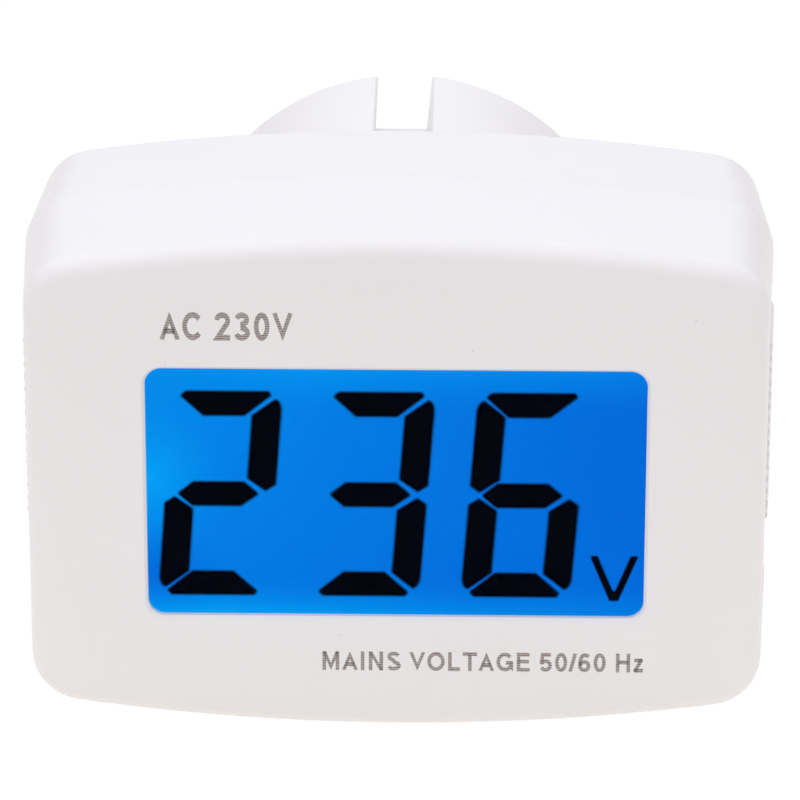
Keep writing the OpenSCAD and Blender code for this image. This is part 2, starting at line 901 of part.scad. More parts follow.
front_cover();
rear_cover();
plug_base();
left_pin();
right_pin();
pin_nuts();
pin_tags();
live_wire();
neutral_wire();
case_screws();
plug_base_screws();
display_frame();
front_polarizer();
lcd_front_glass();
lcd_segments();
lcd_rear_glass();
rear_polarizer();
diffuser_film();
light_guide();
reflector_sheet();
backlight_leds();
zebra_strip();
circuit_board();
board_screws();
meter_chip();
chip_leads();
chip_capacitors();
dropper_capacitor();
smoothing_capacitor();
bridge_rectifier();
zener_diode();
fusible_resistor();
divider_resistors();
trimmer_body();
trimmer_rotor();
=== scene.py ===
"""Looks of the plug-in mains voltmeter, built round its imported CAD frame. Lengths are in metres."""
import bpy
import bmesh
import math
from mathutils import Matrix, Vector


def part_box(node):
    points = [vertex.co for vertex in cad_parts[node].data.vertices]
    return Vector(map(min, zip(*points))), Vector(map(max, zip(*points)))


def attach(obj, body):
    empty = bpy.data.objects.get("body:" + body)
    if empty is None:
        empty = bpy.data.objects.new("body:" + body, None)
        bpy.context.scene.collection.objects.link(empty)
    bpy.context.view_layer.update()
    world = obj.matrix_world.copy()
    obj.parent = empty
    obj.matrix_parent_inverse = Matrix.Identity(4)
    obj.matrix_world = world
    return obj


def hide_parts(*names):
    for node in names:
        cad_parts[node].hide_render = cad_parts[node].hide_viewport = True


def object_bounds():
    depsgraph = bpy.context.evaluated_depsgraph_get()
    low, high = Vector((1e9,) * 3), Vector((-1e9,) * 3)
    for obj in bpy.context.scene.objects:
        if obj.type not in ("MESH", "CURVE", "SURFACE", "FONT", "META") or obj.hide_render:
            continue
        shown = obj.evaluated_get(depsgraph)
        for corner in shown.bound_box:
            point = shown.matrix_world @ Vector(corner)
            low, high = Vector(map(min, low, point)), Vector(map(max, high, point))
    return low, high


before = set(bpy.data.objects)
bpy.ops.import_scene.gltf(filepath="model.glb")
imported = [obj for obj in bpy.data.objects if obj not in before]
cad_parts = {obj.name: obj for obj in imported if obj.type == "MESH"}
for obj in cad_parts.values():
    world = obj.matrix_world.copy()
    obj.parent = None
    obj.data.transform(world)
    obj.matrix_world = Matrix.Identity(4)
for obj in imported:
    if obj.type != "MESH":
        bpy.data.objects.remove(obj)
cad_low, cad_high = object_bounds()

MM = 0.001
BODY = "case"


# ---------------------------------------------------------------- node trees

def add(tree, kind, inputs=None, **settings):
    """Adds a node. An input given as a socket is linked, any other value is set."""
    made = tree.nodes.new(kind)
    for name, value in settings.items():
        setattr(made, name, value)
    for name, value in (inputs or {}).items():
        if isinstance(value, bpy.types.NodeSocket):
            tree.links.new(value, made.inputs[name])
        else:
            made.inputs[name].default_value = value
    return made


def empty_material(name):
    material = bpy.data.materials.new(name)
    material.use_nodes = True
    material.node_tree.nodes.clear()
    return material, material.node_tree


def surface(tree, shader):
    add(tree, "ShaderNodeOutputMaterial", {"Surface": shader})


def place(tree):
    """Where a point is in the shared frame, in metres."""
    return add(tree, "ShaderNodeTexCoord").outputs["Object"]


def noise(tree, where, feature_mm, detail=3.0, rough=0.55):
    """Noise whose blobs are about feature_mm across, from 0 to 1."""
    return add(tree, "ShaderNodeTexNoise", {"Vector": where, "Scale": 1 / (feature_mm * MM),
                                           "Detail": detail, "Roughness": rough}).outputs["Fac"]


def stretched(tree, where, scale):
    return add(tree, "ShaderNodeMapping", {"Vector": where, "Scale": scale}).outputs["Vector"]


def remap(tree, value, low, high, to_low, to_high):
    return add(tree, "ShaderNodeMapRange", {"Value": value, "From Min": low, "From Max": high,
                                            "To Min": to_low, "To Max": to_high}).outputs["Result"]


def colours(tree, share, low, high):
    mixed = add(tree, "ShaderNodeMix", {"Factor": share}, data_type="RGBA")
    mixed.inputs[6].default_value = (*low, 1)
    mixed.inputs[7].default_value = (*high, 1)
    return mixed.outputs[2]


def overlay(tree, share, under, over):
    mixed = add(tree, "ShaderNodeMix", {"Factor": share}, data_type="RGBA")
    tree.links.new(under, mixed.inputs[6])
    mixed.inputs[7].default_value = (*over, 1)
    return mixed.outputs[2]


def combine(tree, first, second, operation="MULTIPLY", clamp=False):
    """Two values put together, multiplied unless another operation is named."""
    return add(tree, "ShaderNodeMath", {0: first, 1: second}, operation=operation, use_clamp=clamp).outputs[0]


def away_from(tree, value, middle):
    """How far a value is from a middle, without its sign."""
    offset = combine(tree, value, middle, "SUBTRACT")
    return add(tree, "ShaderNodeMath", {0: offset}, operation="ABSOLUTE").outputs[0]


def ripple(tree, value, pitch_mm):
    """A sine along a length in metres, one wave to each pitch."""
    turns = combine(tree, value, 2 * math.pi / (pitch_mm * MM))
    return add(tree, "ShaderNodeMath", {0: turns}, operation="SINE").outputs[0]


def axes(tree, where):
    return add(tree, "ShaderNodeSeparateXYZ", {0: where}).outputs


def blend(tree, share, first, second):
    """Two shaders mixed. A share of 1 shows only the second."""
    mixed = add(tree, "ShaderNodeMixShader", {0: share})
    tree.links.new(first, mixed.inputs[1])
    tree.links.new(second, mixed.inputs[2])
    return mixed.outputs[0]


def bump(tree, height, strength, depth_mm):
    return add(tree, "ShaderNodeBump", {"Height": height, "Strength": strength,
                                        "Distance": depth_mm * MM}).outputs["Normal"]


def shade(colour, factor):
    return tuple(min(1.0, c * factor) for c in colour)


# ---------------------------------------------------------------- materials

def plastic(name, colour, rough=0.38, grain_mm=0.35, grain=0.12, specks=0.0, soft=0.06):
    """Moulded plastic: faint blotches, a fine grain and, for the case, a few dark dust specks."""
    material, tree = empty_material(name)
    where = place(tree)
    base = colours(tree, noise(tree, where, 9), shade(colour, 0.985), shade(colour, 1.012))
    if specks:
        cells = add(tree, "ShaderNodeTexVoronoi", {"Vector": where, "Scale": 1 / (3.1 * MM)})
        dot = remap(tree, cells.outputs["Distance"], 0.018, 0.032, 1, 0)
        chosen = remap(tree, cells.outputs["Color"], 0.62, 0.7, 0, specks)
        base = overlay(tree, combine(tree, dot, chosen), base, shade(colour, 0.55))
    fine = noise(tree, where, grain_mm, 4)
    shader = add(tree, "ShaderNodeBsdfPrincipled", {
        "Base Color": base,
        "Roughness": remap(tree, noise(tree, where, 2.5), 0.3, 0.7, rough - 0.04, rough + 0.05),
        "IOR": 1.5,
        "Subsurface Weight": soft,
        "Subsurface Radius": (1.0, 0.95, 0.9),
        "Subsurface Scale": 0.8 * MM,
        "Normal": bump(tree, fine, grain, 0.02)})
    surface(tree, shader.outputs[0])
    return material


def metal(name, colour, rough=0.28, along=(1, 1, 1), scratch_mm=0.12):
    """Plated metal with fine marks, drawn out along the axes whose scale in along is small."""
    material, tree = empty_material(name)
    where = place(tree)
    marks = noise(tree, stretched(tree, where, along), scratch_mm, 5)
    base = colours(tree, noise(tree, where, 1.6), shade(colour, 0.9), shade(colour, 1.05))
    shader = add(tree, "ShaderNodeBsdfPrincipled", {
        "Base Color": base, "Metallic": 1.0,
        "Roughness": remap(tree, marks, 0.3, 0.7, rough - 0.08, rough + 0.12),
        "Normal": bump(tree, marks, 0.15, 0.01)})
    surface(tree, shader.outputs[0])
    return material


def clear(name, tint, gloss, rough=0.04):
    """Thin clear sheet: it lets light straight through, with a weak smudged reflection."""
    material, tree = empty_material(name)
    smudge = remap(tree, noise(tree, place(tree), 6), 0.35, 0.65, rough, rough + 0.08)
    through = add(tree, "ShaderNodeBsdfTransparent", {"Color": (*tint, 1)})
    shine = add(tree, "ShaderNodeBsdfGlossy", {"Roughness": smudge})
    facing = add(tree, "ShaderNodeFresnel", {"IOR": 1.35})
    weight = combine(tree, facing.outputs[0], gloss * 10)
    surface(tree, blend(tree, weight, through.outputs[0], shine.outputs[0]))
    return material


def spot(tree, where, centre, radius_mm, power):
    """1 at a point, falling to 0 at a distance from it."""
    away = add(tree, "ShaderNodeVectorMath", {0: where, 1: centre}, operation="DISTANCE").outputs["Value"]
    return combine(tree, remap(tree, away, 0, radius_mm * MM, 1, 0), power, "POWER")


def lit_film(name, node, strength):
    """Back-lit film: brightest beside the light on the left, with brighter top and bottom margins."""
    material, tree = empty_material(name)
    low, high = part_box(node)
    where = place(tree)
    x, _, z = axes(tree, where)
    left, right, top, bottom = low.x + 1.7 * MM, high.x - 1.7 * MM, high.z - 1.1 * MM, low.z + 1.04 * MM
    across = remap(tree, x, left, right, 1, 0)
    rising = remap(tree, z, bottom, top, 0.28, 0.56)
    height = top - bottom
    total = combine(tree, combine(tree, across, 1.2, "POWER"), rising)
    hot = spot(tree, where, (left, low.y, top - 0.45 * height), 7, 1.5)
    dim = spot(tree, where, (left + 1 * MM, low.y, top - 0.85 * height), 5, 1)
    near_top = combine(tree, remap(tree, z, top - 0.2 * height, top, 0, 1), 2, "POWER")
    near_bottom = combine(tree, remap(tree, z, bottom + 0.15 * height, bottom, 0, 1), 2, "POWER")
    inward = remap(tree, x, left, left + 14 * MM, 0.02, 0.38)
    along_bottom = remap(tree, across, 0, 1, 0.32, 0.78)
    patch = remap(tree, noise(tree, where, 11, 2), 0.3, 0.7, -0.02, 0.02)
    for part in (combine(tree, hot, 0.6), combine(tree, dim, -0.3), combine(tree, near_top, inward),
                 combine(tree, near_bottom, along_bottom), patch):
        total = combine(tree, total, part, "ADD")
    glow = colours(tree, total, (0.0, 0.146, 0.705), (0.0, 0.357, 0.92))
    light = add(tree, "ShaderNodeEmission", {"Color": glow, "Strength": strength})
    surface(tree, light.outputs[0])
    return material


def glowing_block(name, colour, strength):
    """Clear acrylic lit from inside, a little brighter along faint moulded dots."""
    material, tree = empty_material(name)
    where = place(tree)
    cells = add(tree, "ShaderNodeTexVoronoi", {"Vector": where, "Scale": 1 / (1.2 * MM), "Randomness": 0.0})
    dot = remap(tree, cells.outputs["Distance"], 0.2, 0.3, 1.0, 0.0)
    glow = colours(tree, dot, colour, shade(colour, 1.6))
    light = add(tree, "ShaderNodeEmission", {"Color": glow, "Strength": strength})
    smudge = remap(tree, noise(tree, where, 3), 0.3, 0.7, 0.06, 0.16)
    gloss = add(tree, "ShaderNodeBsdfGlossy", {"Roughness": smudge})
    surface(tree, blend(tree, 0.12, light.outputs[0], gloss.outputs[0]))
    return material


def segment_ink():
    """Dark liquid crystal, near black. It fades out to the blue behind it where its cover attribute falls to 0."""
    material, tree = empty_material("segment_dark")
    where = place(tree)
    glow = colours(tree, noise(tree, where, 5), (0.0, 0.0001, 0.001), (0.0002, 0.0004, 0.0025))
    light = add(tree, "ShaderNodeEmission", {"Color": glow, "Strength": 1.0})
    cover = add(tree, "ShaderNodeAttribute", attribute_name="cover").outputs["Fac"]
    bare = add(tree, "ShaderNodeBsdfTransparent")
    surface(tree, blend(tree, cover, bare.outputs[0], light.outputs[0]))
    return material


def print_ink():
    """Laser mark: fine level lines of brown-grey, uneven, with the pale case between them."""
    material, tree = empty_material("print_ink")
    where = place(tree)
    wobble = combine(tree, noise(tree, where, 0.7), 0.16 * MM)
    level = combine(tree, axes(tree, where)["Z"], wobble, "ADD")
    line = remap(tree, ripple(tree, level, 0.15), -0.7, 0.5, 0.0, 1.0)
    speckle = noise(tree, where, 0.16, 5, 0.7)
    burnt = remap(tree, speckle, 0.35, 0.62, 0.0, 1.0)
    ink = add(tree, "ShaderNodeBsdfPrincipled", {
        "Base Color": colours(tree, burnt, (0.075, 0.048, 0.036), (0.31, 0.25, 0.21)),
        "Roughness": remap(tree, speckle, 0.3, 0.7, 0.5, 0.7)})
    bare = add(tree, "ShaderNodeBsdfTransparent")
    patchy = remap(tree, speckle, 0.35, 0.6, 0.0, 0.35)
    cover = combine(tree, line, patchy, "SUBTRACT", clamp=True)
    cover = remap(tree, cover, 0.0, 1.0, 0.3, 1.0)
    surface(tree, blend(tree, cover, bare.outputs[0], ink.outputs[0]))
    return material


def board_mask():
    """Green solder mask over copper tracks, which show as paler lines running both ways."""
    material, tree = empty_material("board_green")
    where = place(tree)
    cells = add(tree, "ShaderNodeTexVoronoi", {"Vector": where, "Scale": 1 / (7 * MM)}, distance="CHEBYCHEV")
    x, _, z = axes(tree, where)
    turned = remap(tree, cells.outputs["Color"], 0.49, 0.51, 0, 1)
    side = add(tree, "ShaderNodeMix", {"Factor": turned})
    tree.links.new(x, side.inputs[2])
    tree.links.new(z, side.inputs[3])
    track = remap(tree, ripple(tree, side.outputs[0], 1.3), 0.25, 0.4, 0, 1)
    base = colours(tree, track, (0.008, 0.12, 0.035), (0.02, 0.23, 0.075))
    shader = add(tree, "ShaderNodeBsdfPrincipled", {
        "Base Color": base,
        "Roughness": remap(tree, noise(tree, where, 2), 0.3, 0.7, 0.22, 0.36),
        "Coat Weight": 0.3,
        "Normal": bump(tree, track, 0.4, 0.035)})
    surface(tree, shader.outputs[0])
    return material


def striped(name, dark, pale, pitch_mm, rough=0.6):
    """Rubber of thin dark and pale layers stacked across its length."""
    material, tree = empty_material(name)
    where = place(tree)
    layer = remap(tree, ripple(tree, axes(tree, where)["X"], pitch_mm), -0.2, 0.2, 0, 1)
    shader = add(tree, "ShaderNodeBsdfPrincipled", {
        "Base Color": colours(tree, layer, dark, pale),
        "Roughness": remap(tree, noise(tree, where, 1), 0.3, 0.7, rough - 0.1, rough + 0.1),
        "Normal": bump(tree, layer, 0.3, 0.02)})
    surface(tree, shader.outputs[0])
    return material


def banded_part(name, body, bands, node, axis, half_body_mm, rough=0.35):
    """A part with a round body and coloured rings. Its leads, well off the body's ends, are bare metal."""
    width_mm, start_mm, step_mm = 0.55, 1.2, 1.05
    material, tree = empty_material(name)
    where = place(tree)
    low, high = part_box(node)
    along = axes(tree, where)["XYZ"[axis]]
    middle = (low[axis] + high[axis]) / 2
    base = colours(tree, noise(tree, where, 1.4), shade(body, 0.93), shade(body, 1.05))
    for count, ring in enumerate(bands):
        away = away_from(tree, along, middle + (start_mm - count * step_mm) * MM)
        base = overlay(tree, remap(tree, away, width_mm / 2 * MM, (width_mm / 2 + 0.06) * MM, 1, 0), base, ring)
    away = away_from(tree, along, middle)
    bare = remap(tree, away, (half_body_mm + 0.02) * MM, (half_body_mm + 0.06) * MM, 0, 1)
    base = overlay(tree, bare, base, (0.72, 0.71, 0.69))
    shader = add(tree, "ShaderNodeBsdfPrincipled", {
        "Base Color": base, "Metallic": bare,
        "Roughness": remap(tree, noise(tree, where, 0.5), 0.3, 0.7, rough - 0.08, rough + 0.08),
        "Normal": bump(tree, noise(tree, where, 0.3), 0.2, 0.02)})
    surface(tree, shader.outputs[0])
    return material


def can_material(node):
    """Sleeve of an electrolytic capacitor: a pale stripe down one side and a bare aluminium top."""
    material, tree = empty_material("capacitor_sleeve")
    _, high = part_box(node)
    where = place(tree)
    x, y, _ = axes(tree, where)
    stripe = remap(tree, x, high.x - 0.85 * MM, high.x - 0.75 * MM, 0, 1)
    base = colours(tree, noise(tree, where, 2), (0.012, 0.018, 0.07), (0.02, 0.028, 0.1))
    base = overlay(tree, stripe, base, (0.6, 0.62, 0.66))
    top = remap(tree, y, high.y - 0.3 * MM, high.y - 0.2 * MM, 0, 1)
    base = overlay(tree, top, base, (0.78, 0.78, 0.79))
    shader = add(tree, "ShaderNodeBsdfPrincipled", {
        "Base Color": base, "Metallic": top,
        "Roughness": remap(tree, noise(tree, where, 0.6), 0.3, 0.7, 0.28, 0.42),
        "Normal": bump(tree, noise(tree, where, 0.25, 4), 0.2, 0.015)})
    surface(tree, shader.outputs[0])
    return material


def chip_part(name, body, node, pitch_mm, half_body_mm):
    """Row of small ceramic chips with tinned end caps, repeating along X."""
    material, tree = empty_material(name)
    low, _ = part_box(node)
    where = place(tree)
    first = low.x + 1.6 * MM
    steps = combine(tree, axes(tree, where)["X"], first - pitch_mm / 2 * MM, "SUBTRACT")
    inside = combine(tree, steps, pitch_mm * MM, "FLOORED_MODULO")
    away = away_from(tree, inside, pitch_mm / 2 * MM)
    cap = remap(tree, away, half_body_mm * MM, (half_body_mm + 0.05) * MM, 0, 1)
    base = colours(tree, noise(tree, where, 0.8), shade(body, 0.92), shade(body, 1.06))
    base = overlay(tree, cap, base, (0.7, 0.7, 0.69))
    shader = add(tree, "ShaderNodeBsdfPrincipled", {
        "Base Color": base, "Metallic": cap,
        "Roughness": remap(tree, noise(tree, where, 0.4), 0.3, 0.7, 0.35, 0.5),
        "Normal": bump(tree, noise(tree, where, 0.2), 0.25, 0.02)})
    surface(tree, shader.outputs[0])
    return material


CASE_COLOUR = (0.80, 0.782, 0.77)
BLACK, BROWN, ORANGE, GOLD = (0.02, 0.02, 0.02), (0.2, 0.08, 0.02), (0.5, 0.22, 0.02), (0.7, 0.5, 0.05)
finishes = {
    "case_white": plastic("case_white", CASE_COLOUR, specks=0.5),
    "case_white_rear": plastic("case_white_rear", shade(CASE_COLOUR, 1.01), specks=0.4),
    "plug_white": plastic("plug_white", shade(CASE_COLOUR, 1.02), rough=0.34, grain_mm=0.5),
    "pin_nickel": metal("pin_nickel", (0.72, 0.69, 0.62), 0.22, (1, 0.12, 1)),
    "zinc_hardware": metal("zinc_hardware", (0.66, 0.66, 0.64), 0.32),
    "tinned_brass": metal("tinned_brass", (0.7, 0.68, 0.6), 0.34),
    "wire_brown": plastic("wire_brown", (0.13, 0.05, 0.02), 0.33, 0.3),
    "wire_blue": plastic("wire_blue", (0.01, 0.06, 0.36), 0.33, 0.3),
    "frame_plastic": plastic("frame_plastic", (0.74, 0.74, 0.70), 0.45),
    "polarizer_film": clear("polarizer_film", (0.985, 0.99, 1.0), 0.006),
    "lcd_glass": clear("lcd_glass", (0.99, 1.0, 1.0), 0.0),
    "segment_dark": segment_ink(),
    "diffuser_blue": lit_film("diffuser_blue", "diffuser_film", 1.0),
    "backlight_blue": glowing_block("backlight_blue", (0.0, 0.2, 0.75), 0.9),
    "reflector_white": plastic("reflector_white", (0.85, 0.86, 0.86), 0.5),
    "led_clear": glowing_block("led_clear", (0.25, 0.5, 1.0), 2.0),
    "zebra_rubber": striped("zebra_rubber", (0.015, 0.015, 0.018), (0.30, 0.30, 0.32), 0.18),
    "board_green": board_mask(),
    "chip_black": plastic("chip_black", (0.022, 0.022, 0.024), 0.5, 0.12, 0.4, soft=0.0),
    "chip_ceramic": chip_part("chip_ceramic", (0.42, 0.27, 0.13), "chip_capacitors", 4.5, 1.15),
    "capacitor_yellow": plastic("capacitor_yellow", (0.70, 0.45, 0.03), 0.42, 0.4),
    "capacitor_sleeve": can_material("smoothing_capacitor"),
    "diode_glass": banded_part("diode_glass", (0.45, 0.07, 0.02), [BLACK], "zener_diode", 2, 2.2, 0.2),
    "resistor_green": banded_part("resistor_green", (0.18, 0.36, 0.17), [ORANGE, BLACK, BLACK],
                                  "fusible_resistor", 0, 4.25),
    "resistor_blue": banded_part("resistor_blue", (0.16, 0.42, 0.58), [BROWN, BLACK, GOLD],
                                 "divider_resistors", 2, 3.0),
    "trimmer_blue": plastic("trimmer_blue", (0.015, 0.07, 0.45), 0.36, 0.3),
    "rotor_cream": plastic("rotor_cream", (0.72, 0.66, 0.5), 0.4, 0.2)}


# ---------------------------------------------------------------- CAD nodes

SHARP_ANGLE = math.radians(30)


def finish_node(name, slot):
    """Gives a CAD node its finish and shades its round faces smoothly, keeping its real edges sharp."""
    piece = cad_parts[name]
    mesh = piece.data
    mesh.materials.clear()
    mesh.materials.append(finishes[slot])
    for attribute in ("custom_normal", "sharp_face", "sharp_edge"):
        if attribute in mesh.attributes:
            mesh.attributes.remove(mesh.attributes[attribute])
    mesh.polygons.foreach_set("use_smooth", [True] * len(mesh.polygons))
    weld = piece.modifiers.new("weld", "WELD")
    weld.merge_threshold = 0.002 * MM
    edges = piece.modifiers.new("edges", "EDGE_SPLIT")
    edges.split_angle = SHARP_ANGLE
    normals = piece.modifiers.new("normals", "WEIGHTED_NORMAL")
    normals.mode = "FACE_AREA"


SLOTS = {
    "front_cover": "case_white", "rear_cover": "case_white_rear", "plug_base": "plug_white",
    "left_pin": "pin_nickel", "right_pin": "pin_nickel", "pin_nuts": "zinc_hardware",
    "pin_tags": "tinned_brass", "live_wire": "wire_brown", "neutral_wire": "wire_blue",
    "case_screws": "zinc_hardware", "plug_base_screws": "zinc_hardware", "board_screws": "zinc_hardware",
    "display_frame": "frame_plastic", "front_polarizer": "polarizer_film", "rear_polarizer": "polarizer_film",
    "lcd_front_glass": "lcd_glass", "lcd_rear_glass": "lcd_glass", "lcd_segments": "segment_dark",
    "diffuser_film": "diffuser_blue", "light_guide": "backlight_blue", "reflector_sheet": "reflector_white",
    "backlight_leds": "led_clear", "zebra_strip": "zebra_rubber", "circuit_board": "board_green",
    "meter_chip": "chip_black", "chip_leads": "tinned_brass", "chip_capacitors": "chip_ceramic",
    "dropper_capacitor": "capacitor_yellow", "smoothing_capacitor": "capacitor_sleeve",
    "bridge_rectifier": "chip_black", "zener_diode": "diode_glass", "fusible_resistor": "resistor_green",
    "divider_resistors": "resistor_blue", "trimmer_body": "trimmer_blue", "trimmer_rotor": "rotor_cream"}
for node_name, slot_name in SLOTS.items():
    finish_node(node_name, slot_name)


# ---------------------------------------------------------------- display segments

# Sizes of a digit in millimetres, as in the CAD. UPRIGHT is the stroke of a side segment, SPLIT the gap's half width.
DIGIT_W, DIGIT_H, STROKE, UPRIGHT, LEAN = 9.05, 18.2, 2.25, 2.46, 0.075
PITCH, FIRST_FROM_RIGHT, SPLIT = 12.36, 33.9, 0.21
# FRINGE is the soft edge on each side of an outline, in millimetres. Small corners get a narrower one, a share of
# their radius, so that the inner outline never crosses itself.
# The soft edge is a painted shadow blur: it stands for the penumbra the dark segments cast on the lit film behind
# them.
FRINGE, FRINGE_SHARE, DIGIT_CORNER, V_CORNER = 0.13, 0.6, 0.24, 0.13


def rounded_outline(points, radius, steps=5):
    """The corners of a polygon turned into short arcs. radius is cut down where an edge is too short for it."""
    out = []
    for i, here in enumerate(points):
        here = Vector(here)
        before, after = Vector(points[i - 1]), Vector(points[(i + 1) % len(points)])
        to_before, to_after = before - here, after - here
        opening = to_before.angle(to_after)
        if opening > math.radians(172):
            out.append(here)
            continue
        reach = min(radius / math.tan(opening / 2), to_before.length * 0.45, to_after.length * 0.45)
        r = reach * math.tan(opening / 2)
        start, end = here + to_before.normalized() * reach, here + to_after.normalized() * reach
        centre = here + (to_before.normalized() + to_after.normalized()).normalized() * (r / math.sin(opening / 2))
        a, b = start - centre, end - centre
        for k in range(steps + 1):
            t = k / steps
            step = (a * (1 - t) + b * t).normalized() * r
            out.append(centre + step)
    return out


def level_bar():
    half_w, m = DIGIT_W / 2, STROKE / 2
    return [(-half_w + 2.3, -m), (half_w - 2.75, -m), (half_w - 1.3, 0), (half_w - 2.65, m), (-half_w + 2.25, m),
            (-half_w + 0.98, 0)]


def cap_bar():
    half_w, half_h = DIGIT_W / 2, DIGIT_H / 2
    return [(-half_w + 2.68, half_h - STROKE), (half_w - 3.0, half_h - STROKE), (half_w - 0.88, half_h - 0.42),
            (half_w - 1.15, half_h), (-half_w + 1.15, half_h), (-half_w + 0.66, half_h - 0.45)]


def side_bar():
    half_w, half_h = DIGIT_W / 2, DIGIT_H / 2
    return [(half_w - UPRIGHT, SPLIT + 1.14), (half_w - 0.85, SPLIT), (half_w, SPLIT + 0.6), (half_w, half_h - 1.5),
            (half_w - 0.2, half_h - 0.95), (half_w - 0.58, half_h - 0.66), (half_w - UPRIGHT, half_h - 2.14)]


SEGMENTS = {"t": (cap_bar, 1, 1), "m": (level_bar, 1, 1), "b": (cap_bar, 1, -1), "p": (side_bar, -1, 1),
            "q": (side_bar, 1, 1), "r": (side_bar, -1, -1), "s": (side_bar, 1, -1)}


def soft_shape(bm, cover, outline, depth, fringe_mm):
    """A flat shape given as (x, z) in metres. Its cover layer falls from 1 inside the edge to 0 outside it."""
    rings = []
    for share, value in ((1, 0.0), (-1, 1.0)):
        ring = []
        for i, here in enumerate(outline):
            along = Vector(outline[(i + 1) % len(outline)]) - Vector(outline[i - 1])
            out = Vector((along.y, -along.x)).normalized() * share * fringe_mm * MM
            vert = bm.verts.new((here[0] + out.x, depth, here[1] + out.y))
            vert[cover] = value
            ring.append(vert)
        rings.append(ring)
    outer, inner = rings
    bm.faces.new(inner)
    for i in range(len(outer)):
        j = (i + 1) % len(outer)
        bm.faces.new((outer[i], outer[j], inner[j], inner[i]))


def mesh_piece(name, bm, material):
    mesh = bpy.data.meshes.new(name)
    bmesh.ops.recalc_face_normals(bm, faces=bm.faces)
    bm.to_mesh(mesh)
    bm.free()
    mesh.polygons.foreach_set("use_smooth", [False] * len(mesh.polygons))
    mesh.materials.append(material)
    piece = bpy.data.objects.new(name, mesh)
    bpy.context.scene.collection.objects.link(piece)
    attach(piece, BODY)
    return piece


def liquid_crystal():
    """The lit digits and the V, with softly rounded corners."""
    low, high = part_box("lcd_segments")
    middle_z = high.z / MM - DIGIT_H / 2
    bm = bmesh.new()
    cover = bm.verts.layers.float.new("cover")
    shapes = []
    for place_x, lit in enumerate(("tqmrb", "tqmsb", "tpmrsb")):
        x = high.x / MM - FIRST_FROM_RIGHT + place_x * PITCH
        for key in lit:
            maker, sx, sz = SEGMENTS[key]
            points = [(x + sx * px + LEAN * sz * pz, middle_z + sz * pz) for px, pz in maker()]
            shapes.append((points if sx * sz > 0 else points[::-1], DIGIT_CORNER))
    left, right, top, bottom = high.x / MM - 3.8, high.x / MM + 0.2, middle_z - 5.3, middle_z - 9.35
    arm, half_foot, notch = 0.66, 0.37, 0.68
    tip = (left + right) / 2 + 0.02
    shapes.append(([(left, top), (tip - half_foot, bottom), (tip + half_foot, bottom), (right, top),
                    (right - arm, top), (tip, bottom + notch), (left + arm, top)], V_CORNER))
    for points, radius in shapes:
        outline = [(p[0] * MM, p[1] * MM) for p in rounded_outline(points, radius)]
        # The fade over the fringe is the painted soft shadow edge of each segment.
        soft_shape(bm, cover, outline, low.y, min(FRINGE, FRINGE_SHARE * radius))
    piece = mesh_piece("lcd_digits", bm, finishes["segment_dark"])
    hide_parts("lcd_segments")


liquid_crystal()


# ---------------------------------------------------------------- printed marks

# Stroke width as a share of the letters' height, and the film's distance from the plastic in millimetres.
PEN, OFF_FACE, BETWEEN_LETTERS = 0.2, 0.008, 0.06


def arc(x, y, rx, ry, start, end, steps=16):
    """Points along an ellipse from one angle to another, in degrees."""
    turns = [math.radians(start + (end - start) * k / steps) for k in range(steps + 1)]
    return [(x + rx * math.cos(a), y + ry * math.sin(a)) for a in turns]


